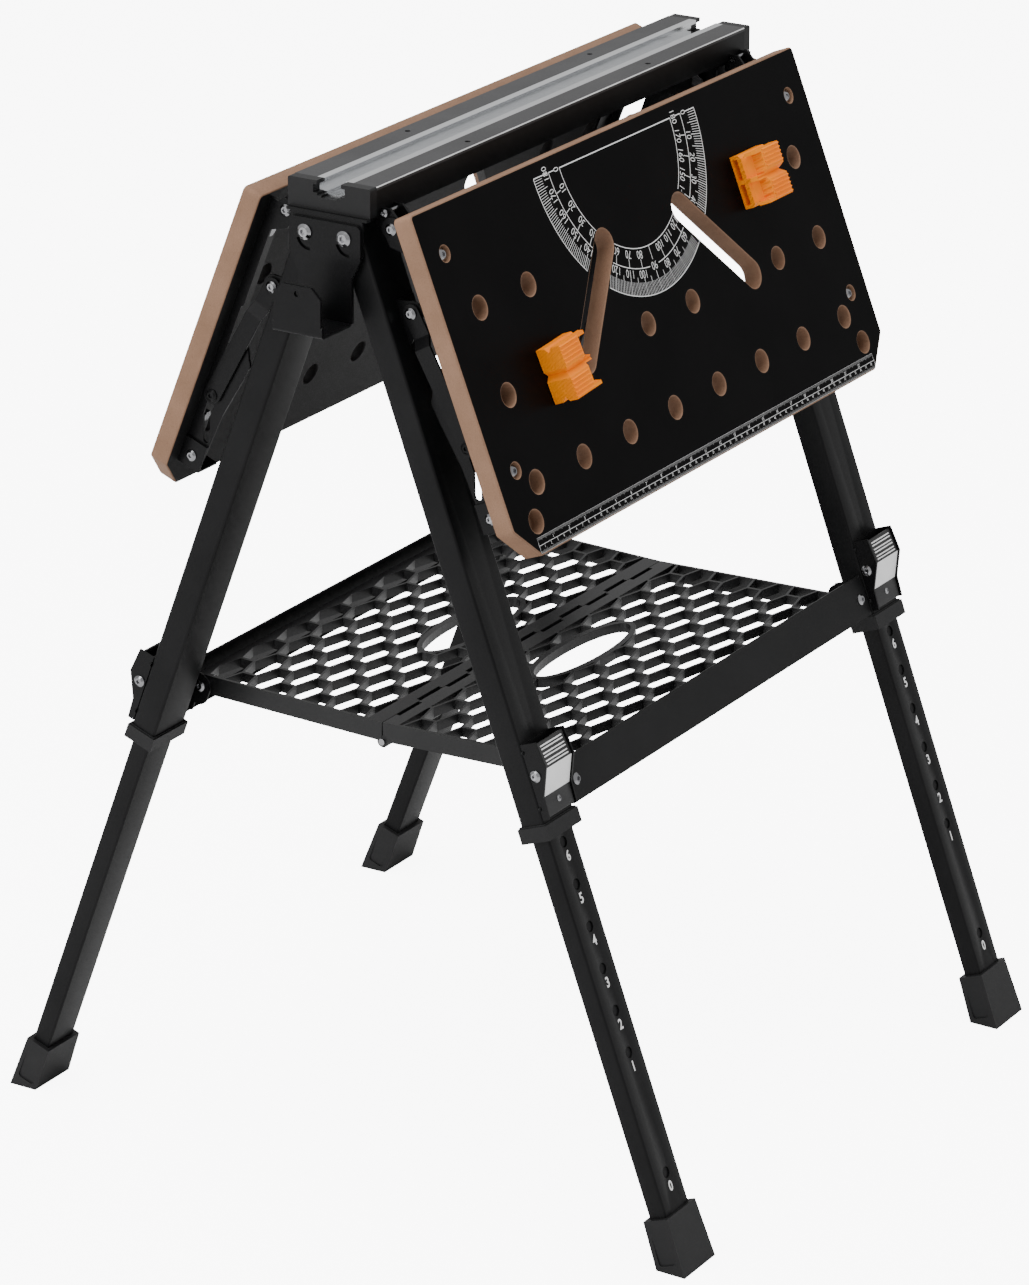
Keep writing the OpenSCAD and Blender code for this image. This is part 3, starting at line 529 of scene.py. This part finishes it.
# ---------------------------------------------------------------- leg tubes
def rounded_rect(hx, hy, r, seg=4):
    """Points round a rectangle with round corners, counter-clockwise from the +X side."""
    pts = []
    corners = ((hx - r, hy - r), (r - hx, hy - r), (r - hx, r - hy), (hx - r, r - hy))
    for start, (cx, cy) in enumerate(corners):
        for k in range(seg + 1):
            t = math.pi / 2 * (start + k / seg)
            pts.append(Vector((cx + r * math.cos(t), cy + r * math.sin(t))))
    return pts


def tube(name, node_name, body, side, end, section, span, holes, hole_r):
    """A rectangular steel tube down a leg, with round holes in its outer (+Y) face."""
    hx, hy, r, wall = section
    s0, s1 = span
    b = Builder()
    x0 = LEG_X * end

    def at(points, s):
        return [(x0 + p.x, p.y, -s) for p in points]

    outer = rounded_rect(hx, hy, r)
    inner = rounded_rect(hx - wall, hy - wall, max(r - wall, 0.4))
    # the flat of the outer face lies between the end of the first corner and the start of the second
    seam = 4
    soft = 0.35
    body_pts = outer[seam + 1:] + outer[:seam + 1]
    b.rings([at(body_pts, s0), at(body_pts, s1)], 0, closed=False)
    xa, xb = outer[seam].x, outer[seam + 1].x
    flat = [Vector((xb, s0)), Vector((xa, s0)), Vector((xa, s1)), Vector((xb, s1))]
    loops = [circle_loop(0, s, hole_r, 28) for s in holes]
    v, f = fill(flat, [ring(l, soft) for l in loops])
    b.add([(x0 + p.x, hy, -p.y) for p in v], f, 0)
    for l in loops:
        b.rings([[(x0 + p.x, y, -p.y) for p in ring(l, d)]
                 for d, y in ((soft, hy), (0.1, hy - 0.12), (0, hy - soft), (0, hy - wall))], 0)
    b.rings([at(inner, s0), at(inner, s1)], 0)
    for s in (s0, s1):
        b.rings([at(outer, s), at(inner, s)], 0)
    o = b.object(name, [black_steel], body, leg_frame(side), 40)
    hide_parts(node_name)


HOLES = [LOCK_S + HOLE_STEP * k for k in range(7)] + [LAST_HOLE]
for sd, side, en, end in LEGS:
    tube(f"{sd}_{en}_upper_tube", f"{sd}_leg_{en}", f"{sd}_legs", side, end,
         UPPER_TUBE, UPPER_SPAN, [LOCK_S], UPPER_HOLE_R)
    tube(f"{sd}_{en}_lower_tube", f"{sd}_{en}_lower_leg", f"{sd}_{en}_extension", side, end,
         LOWER_TUBE, LOWER_SPAN, HOLES, LOWER_HOLE_R)


# ---------------------------------------------------------------- painted highlight: a light strip along the top strips' edges
for sd, side in SIDES:
    # a flat light quad at each strip's outer edge stands in for its highlight
    b = Builder()
    verts = [(x, side * y, z) for x in (-CHANNEL_HALF, CHANNEL_HALF) for y, z in STRIP_EDGE]
    b.add(verts, [(0, 1, 3, 2)])
    edge = b.object(f"{sd}_strip_edge", [edge_highlight_paint], "beam", Matrix.Identity(4))


# ---------------------------------------------------------------- latch levers
def prism(b, outline, x0, x1, material=0):
    """An outline of (n, s) pairs on a leg, extruded along X."""
    count = len(outline)
    verts = [(x0, n, -s) for n, s in outline] + [(x1, n, -s) for n, s in outline]
    faces = [tuple(range(count)), tuple(range(2 * count - 1, count - 1, -1))]
    faces += [(k, (k + 1) % count, count + (k + 1) % count, count + k) for k in range(count)]
    b.add(verts, faces, material)


def lever(side, end, sd, en):
    """A bent lever: a silver face between two grey ones, with cheeks, ridges and a screw."""
    w, skin = 20.9, 2.2
    x0 = LEG_X * end
    top, knee, waist, toe = (26.4, 448.5), (28.9, 470.8), (17.8, 494.6), (16.9, 512.5)
    name = f"{sd}_{en}"
    body = f"{name}_latch"
    place = leg_frame(side)
    # one facet per piece of skin, so each has its own finish
    b = Builder()
    inner = [(top[0] - skin, top[1]), (knee[0] - skin, knee[1] + 0.8), (waist[0] - skin, waist[1] + 0.8),
             (toe[0] - skin, toe[1])]
    outerp = [top, knee, waist, toe]
    xs = (x0 - w, x0 + w)
    verts = []
    for x in xs:
        verts += [(x, n, -s) for n, s in outerp] + [(x, n, -s) for n, s in inner]
    for k, mat in ((0, 1), (1, 0), (2, 1)):
        b.add(verts, [(k, k + 1, 9 + k, 8 + k), (4 + k, 12 + k, 13 + k, 5 + k),
                      (k, 4 + k, 5 + k, k + 1), (8 + k, 9 + k, 13 + k, 12 + k)], mat)
    b.add(verts, [(0, 8, 12, 4), (3, 7, 15, 11)], 1)
    skin_obj = b.object(f"{name}_lever_skin", [lever_silver, lever_grey], body, place)
    soften(skin_obj, 0.6, 3, 20)
    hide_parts(f"{name}_lever")
    b = Builder()
    cheek = [(21.8, 449.6), (25.6, 449.6), (28.0, 470.9), (17.0, 494.2), (16.1, 512.1),
             (14.7, 512.1), (14.7, 481), (15.2, 473), (17.2, 468)]
    for a in (x0 - w + 0.02, x0 + w - skin - 0.02):
        prism(b, cheek, a, a + skin)
    cheeks = b.object(f"{name}_lever_cheeks", [lever_grey], body, place)
    # six bright ridges in pairs across the thumb press
    b = Builder()
    ux = ((knee[0] - top[0]), (knee[1] - top[1]))
    length = math.hypot(*ux)
    ux = (ux[0] / length, ux[1] / length)
    out = (ux[1], -ux[0])
    half, height, sunk, margin = 0.62, 0.55, 0.02, 4.2
    for t in (3.6, 6.4, 10.2, 13.0, 16.8, 19.6):
        cn, cs = top[0] + ux[0] * t, top[1] + ux[1] * t
        prof = []
        for k in range(7):
            a = math.pi * k / 6
            along, up = half * math.cos(a), height * math.sin(a) - sunk
            prof.append((cn + ux[0] * along + out[0] * up, cs + ux[1] * along + out[1] * up))
        prism(b, prof, x0 - w + margin, x0 + w - margin)
    ridges = b.object(f"{name}_lever_ridges", [lever_silver], body, place, 50)
    # a small screw in the shoe
    b = Builder()
    cn, cs = 17.45, 502.0
    seg = 20
    loops = []
    angles = [2 * math.pi * k / seg for k in range(seg)]
    for r, h in ((2.9, -0.3), (2.9, 0.5), (2.3, 1.1), (1.3, 1.25), (1.3, 0.5)):
        loops.append([(x0 + r * math.cos(a), cn + h, -cs + r * math.sin(a)) for a in angles])
    b.rings(loops)
    b.add(loops[-1], [tuple(range(seg))])
    screw = b.object(f"{name}_lever_screw", [zinc], body, place, 40)


for sd, side, en, end in LEGS:
    lever(side, end, sd, en)


# ---------------------------------------------------------------- print
def text_faces(text, size, weight=0.0):
    """Flat faces of a number, centred on the origin, in mm."""
    curve = bpy.data.curves.new("digits", "FONT")
    curve.body = text
    curve.size = size
    curve.align_x = "CENTER"
    curve.align_y = "CENTER"
    curve.resolution_u = 3
    curve.offset = weight
    o = bpy.data.objects.new("digits", curve)
    bpy.context.scene.collection.objects.link(o)
    bpy.context.view_layer.update()
    mesh = bpy.data.meshes.new_from_object(o)
    verts = [Vector((v.co.x, v.co.y)) for v in mesh.vertices]
    faces = [tuple(p.vertices) for p in mesh.polygons]
    bpy.data.objects.remove(o)
    bpy.data.meshes.remove(mesh)
    bpy.data.curves.remove(curve)
    return verts, faces


class Print:
    """Flat marks at height n over a face, placed by x across it and w down it."""

    def __init__(self, n):
        self.b, self.n, self.cache, self.ink = Builder(), n, {}, 0

    def text(self, text, x, w, size, angle=0.0, weight=0.0, narrow=1.0):
        key = (text, size, weight)
        if key not in self.cache:
            self.cache[key] = text_faces(text, size, weight)
        verts, faces = self.cache[key]
        c, s = math.cos(angle), math.sin(angle)
        turned = [(p.x * narrow * c - p.y * s, p.x * narrow * s + p.y * c) for p in verts]
        self.b.add([(x + u, self.n, -w + v) for u, v in turned], faces, self.ink)

    def quad(self, pts):
        self.b.add([(x, self.n, -w) for x, w in pts], [tuple(range(len(pts)))], self.ink)

    def line(self, x0, w0, x1, w1, width):
        d = Vector((x1 - x0, w1 - w0)).normalized()
        o = Vector((-d.y, d.x)) * width / 2
        self.quad([(x0 + o.x, w0 + o.y), (x1 + o.x, w1 + o.y), (x1 - o.x, w1 - o.y), (x0 - o.x, w0 - o.y)])

    def arc(self, cx, cw, r, width, a0, a1, seg=90):
        rows = []
        for rr in (r - width / 2, r + width / 2):
            rows.append([(cx + rr * math.cos(a0 + (a1 - a0) * k / seg), self.n,
                          -(cw + rr * math.sin(a0 + (a1 - a0) * k / seg))) for k in range(seg + 1)])
        self.b.rings(rows, closed=False)


def protractor(pr):
    """A half circle of degrees counted from both ends, round the middle of the board's top edge."""
    cx, cw = -1.7, 5.9
    r1, r2, r3, r4 = 93.0, 110.6, 122.8, 134.8
    arc_width, line_width = 0.75, 0.9
    for r in (r1, r4):
        pr.arc(cx, cw, r, arc_width, 0, math.pi)
    # the middle arc and the base line leave gaps for the figures 90, 0 and 180
    pr.arc(cx, cw, r2, arc_width, 0, math.radians(86.2))
    pr.arc(cx, cw, r2, arc_width, math.radians(93.8), math.pi)
    pr.line(cx - r1, cw, cx + r1, cw, 1.0)
    pr.line(cx - r4, cw, cx - r2 - 2, cw, line_width)
    pr.line(cx + r2 + 7.5, cw, cx + r4, cw, line_width)
    pr.line(cx - r2, cw, cx - r1 - 8.5, cw, line_width)
    pr.line(cx + r1 + 8.5, cw, cx + r2, cw, line_width)

    def radial(deg, ra, rb, width):
        t = math.radians(deg)
        c, s = math.cos(t), math.sin(t)
        pr.line(cx + ra * c, cw + ra * s, cx + rb * c, cw + rb * s, width)

    for deg in range(1, 180):
        if deg % 10 == 0:
            radial(deg, r1 + (9.6 if deg != 90 else 0), r2 - (0 if deg != 90 else 5), 0.6)
            radial(deg, r2 + (9.0 if deg != 90 else 5), r4, 0.6)
        elif deg % 5 == 0:
            radial(deg, r3 - 4.5, r4, 0.5)
        else:
            radial(deg, r3, r4, 0.4)
    size, weight = 10.6, -0.12
    outer_r, inner_r = 115.4, 98.2
    for deg in [10 * k for k in range(19) if k != 9]:
        t = math.radians(deg)
        c, s = math.cos(t), math.sin(t)
        # w grows downward, so a figure whose top faces the middle turns by this much
        turn = -t - math.pi / 2
        pr.text(str(deg), cx + outer_r * c, cw + outer_r * s, size, turn, weight, 0.84)
        pr.text(str(180 - deg), cx + inner_r * c, cw + inner_r * s, size, turn, weight, 0.84)
    pr.text("90", cx, cw + r2, size, math.pi, weight, 0.9)


def ruler(pr):
    """Inches in sixteenths over millimetres, along the board's lower edge."""
    top, mid, low = 278.4, 285.3, 292.0
    x0 = -291.7
    end = x0 + 23 * INCH
    pr.line(x0, top, x0, low, 0.35)
    pr.line(end, top, end, low, 0.35)
    pr.line(x0, mid, end + 1.2, mid, 0.4)
    pr.line(x0, top + 0.1, end, top + 0.1, 0.22)
    pr.line(x0, low - 0.1, end, low - 0.1, 0.22)
    pr.ink = 1
    for k in range(23 * 16 + 1):
        x = x0 + k * INCH / 16
        depth = 3.6 if k % 16 == 0 else 3.2 if k % 8 == 0 else 2.8 if k % 4 == 0 else 2.3
        pr.line(x, top, x, top + depth, 0.8)
    for k in range(585):
        x = x0 + k
        depth = 3.2 if k % 10 == 0 else 2.7 if k % 5 == 0 else 2.0
        pr.line(x, low - depth, x, low, 0.5)
    pr.ink = 0
    for k in range(1, 23):
        pr.text(str(k), x0 + INCH * k - 2.2, mid - 2.2, 4.2, 0, 0.0, 0.9)
    for k in range(1, 59):
        pr.text(str(k), x0 + 10 * k - 2.0, mid + 2.1, 3.4, 0, 0.0, 0.85)


marks = Print(BOARD_OUT + 0.06)
protractor(marks)
ruler(marks)
# keep the print off the clamp slots
kept_f, kept_m = [], []
polys = [ring(clamp_slot(end, SLOT_R + HOLE_EASE), 0) for end in (-1, 1)]
for f, m in zip(marks.b.f, marks.b.m):
    c = [Vector((marks.b.v[i][0], -marks.b.v[i][2])) for i in f]
    if not any(inside(poly, p) for poly in polys for p in c):
        kept_f.append(f)
        kept_m.append(m)
marks.b.f, marks.b.m = kept_f, kept_m
front_print = marks.b.object("front_board_scale", [print_white, print_fine], "front_leaf", wing_frame(-1))


def leg_digits(side, end, sd, en):
    """The figures 6 to 1 and 0 under the height holes of one lower leg."""
    pr = Print(LOWER_TUBE[1] + 0.05)
    flip = 1 if side < 0 else -1
    size, weight = 12.6, 0.28
    for k in range(1, 7):
        pr.text(str(7 - k), 0.6 * flip, LOCK_S + HOLE_STEP * k + FIGURE_DROP, size, 0.0, weight, 0.9)
    pr.text("0", 0.6 * flip, LAST_HOLE + FIGURE_DROP, size, 0.0, weight, 0.9)
    pr.b.v = [(LEG_X * end + flip * x, y, z) for x, y, z in pr.b.v]
    o = pr.b.object(f"{sd}_{en}_height_numbers", [print_white], f"{sd}_{en}_extension", leg_frame(side))


for sd, side, en, end in LEGS:
    leg_digits(side, end, sd, en)


# ---------------------------------------------------------------- floor, lights, camera
floor_mesh = bpy.data.meshes.new("floor")
floor_mesh.from_pydata([(-30, -30, 0), (30, -30, 0), (30, 30, 0), (-30, 30, 0)], [], [(0, 1, 2, 3)])
floor = bpy.data.objects.new("floor", floor_mesh)
bpy.context.scene.collection.objects.link(floor)
fm, fnt, fb = new_material("pale_floor")
fb.inputs["Base Color"].default_value = (0.9, 0.9, 0.9, 1)
fb.inputs["Roughness"].default_value = 0.9
fb.inputs["Specular IOR Level"].default_value = 0.1
fb.inputs["Emission Color"].default_value = (1, 1, 1, 1)
# the floor glows for the camera only, so it reads white without lighting the undersides
seen = fnt.nodes.new("ShaderNodeLightPath")
glow = node(fnt, "ShaderNodeMath", operation="MULTIPLY")
glow.inputs[1].default_value = CAMERA_GLOW
fnt.links.new(seen.outputs["Is Camera Ray"], glow.inputs[0])
fnt.links.new(glow.outputs["Value"], fb.inputs["Emission Strength"])
floor_mesh.materials.append(fm)

world = bpy.data.worlds.new("studio")
bpy.context.scene.world = world
world.use_nodes = True
bg = world.node_tree.nodes["Background"]
bg.inputs["Color"].default_value = (1.0, 1.0, 1.0, 1)
# the sky matches the floor for the camera only
sky = node(world.node_tree, "ShaderNodeMath", operation="MULTIPLY_ADD")
sky.inputs[1].default_value = CAMERA_GLOW
sky.inputs[2].default_value = 0.72
seen = world.node_tree.nodes.new("ShaderNodeLightPath")
world.node_tree.links.new(seen.outputs["Is Camera Ray"], sky.inputs[0])
world.node_tree.links.new(sky.outputs["Value"], bg.inputs["Strength"])


def area(name, place, target, size, power, size_y):
    light = bpy.data.lights.new(name, "AREA")
    light.energy = power
    light.shape = "RECTANGLE"
    light.size = size
    light.size_y = size_y
    o = bpy.data.objects.new(name, light)
    o.location = place
    o.rotation_euler = (Vector(target) - Vector(place)).to_track_quat("-Z", "Y").to_euler()
    bpy.context.scene.collection.objects.link(o)


area("overhead_softbox", (-0.3, 0.2, 3.4), (0, 0, 0.5), 2.6, 78, 2.2)
area("end_softbox", (-3.2, 0.9, 1.8), (0, 0, 0.5), 1.8, 74, 2.2)
area("front_strip", (1.6, -3.4, 1.6), (0, 0, 0.5), 1.2, 14, 2.2)

camera = bpy.data.cameras.new("camera")
camera.lens = 149.2
camera.sensor_width = 36
camera.sensor_fit = "AUTO"
camera.clip_start = 0.05
camera.clip_end = 100
cam = bpy.data.objects.new("camera", camera)
bpy.context.scene.collection.objects.link(cam)
azimuth, elevation, roll = (math.radians(a) for a in (-58.434, 21.164, 0.322))
distance = 4.7963
target = Vector((-0.00458, 0.0103, 0.40032))
back = Vector((math.sin(azimuth) * math.cos(elevation), -math.cos(azimuth) * math.cos(elevation),
               math.sin(elevation)))
cam.location = target + back * distance
q = (-back).to_track_quat("-Z", "Y")
cam.rotation_mode = "QUATERNION"
cam.rotation_quaternion = q @ Matrix.Rotation(roll, 4, "Z").to_quaternion()
bpy.context.scene.camera = cam
